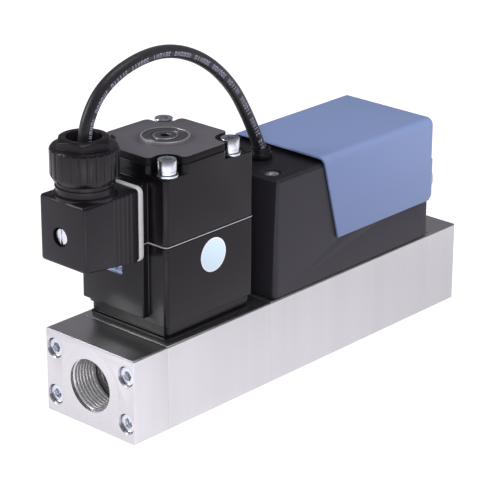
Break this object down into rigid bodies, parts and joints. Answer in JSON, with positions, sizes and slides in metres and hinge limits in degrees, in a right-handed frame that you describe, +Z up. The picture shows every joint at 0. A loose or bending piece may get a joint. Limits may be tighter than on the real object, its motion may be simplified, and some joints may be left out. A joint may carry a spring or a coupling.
{
  "type": "mass flow controller",
  "caption": "Ported metal block with a solenoid control valve, its plug and jumper lead, and a sensor and electronics housing under a folded cover.",
  "frame": {"origin": "middle of the block's underside", "axes": "+X along the block from the outlet to the inlet, +Z up out of the block's top, and -Y towards the long side with the round sticker"},
  "size_m": [0.2399, 0.0566, 0.1649],
  "materials": {
    "block_metal": "satin, fine machined",
    "screw_steel": "bright",
    "black_seal": "matte",
    "valve_seal": "matte",
    "filter_bronze": "sintered, rough",
    "valve_steel": "turned",
    "copper_wire": "enamelled copper",
    "brass_turned": "turned",
    "bobbin_plastic": "moulded",
    "coil_plastic": "moulded, semi-matte",
    "parting_plastic": "moulded",
    "plate_grey": "fine matte coat",
    "terminal_tin": "tinned",
    "pale_gasket": "matte",
    "plug_plastic": "moulded, semi-matte",
    "insert_plastic": "moulded",
    "cable_jacket": "smooth jacket",
    "housing_grey": "fine textured coat",
    "cover_blue": "satin powder coat",
    "board_green": "solder mask",
    "connector_nickel": "nickel plated",
    "sticker_blue": "smooth film"
  },
  "bodies": {
    "valve_body": {"outlet_flange": "block_metal", "inlet_flange": "block_metal", "valve_block": "block_metal", "sensor_block": "block_metal", "tie_screws": "screw_steel", "inlet_screws": "screw_steel", "outlet_seal": "black_seal", "inlet_seal": "black_seal", "block_seal": "black_seal", "inlet_filter": "filter_bronze", "flow_element": "valve_steel", "sensor_base": "valve_steel", "sensor_seals": "black_seal", "sensor_screws": "screw_steel", "sensor_tube": "valve_steel", "sensor_windings": "copper_wire", "valve_seat": "brass_turned", "seat_seal": "black_seal", "return_spring": "valve_steel", "guide_tube": "valve_steel", "guide_tube_seal": "black_seal", "fixed_core": "valve_steel", "coil_yoke": "valve_steel", "coil_bobbin": "bobbin_plastic", "coil_winding": "copper_wire", "coil_base_gasket": "black_seal", "coil_housing_lower": "coil_plastic", "coil_housing_upper": "coil_plastic", "coil_parting_seal": "parting_plastic", "coil_top_plate": "plate_grey", "retaining_ring": "screw_steel", "retaining_screw": "screw_steel", "coil_screws": "screw_steel", "coil_spring_washers": "screw_steel", "coil_flat_washers": "screw_steel", "terminal_blades": "terminal_tin", "plug_gasket": "pale_gasket", "plug_housing": "plug_plastic", "plug_insert": "insert_plastic", "plug_screw": "screw_steel", "gland_nut": "plug_plastic", "gland_seal": "black_seal", "gland_washer": "insert_plastic", "jumper_cable": "cable_jacket", "cable_grommet": "black_seal", "electronics_housing": "housing_grey", "housing_gasket": "black_seal", "housing_screws": "screw_steel", "top_cover": "cover_blue", "circuit_board": "board_green", "board_parts": "insert_plastic", "board_spacers": "brass_turned", "board_screws": "screw_steel", "cable_header": "board_green", "round_connector": "connector_nickel", "round_insert": "insert_plastic", "data_connector": "connector_nickel", "round_sticker": "sticker_blue"},
    "plunger": {"plunger": "valve_steel", "plunger_seal": "valve_seal"}
  },
  "joints": [
    {"name": "plunger_lift", "type": "slide", "parent": "valve_body", "child": "plunger", "axis": [0, 0, 1], "range_m": [0, 0.0015], "stiffness_N_per_m": 1500, "springref_m": -0.003, "deforming": ["return_spring"]}
  ]
}
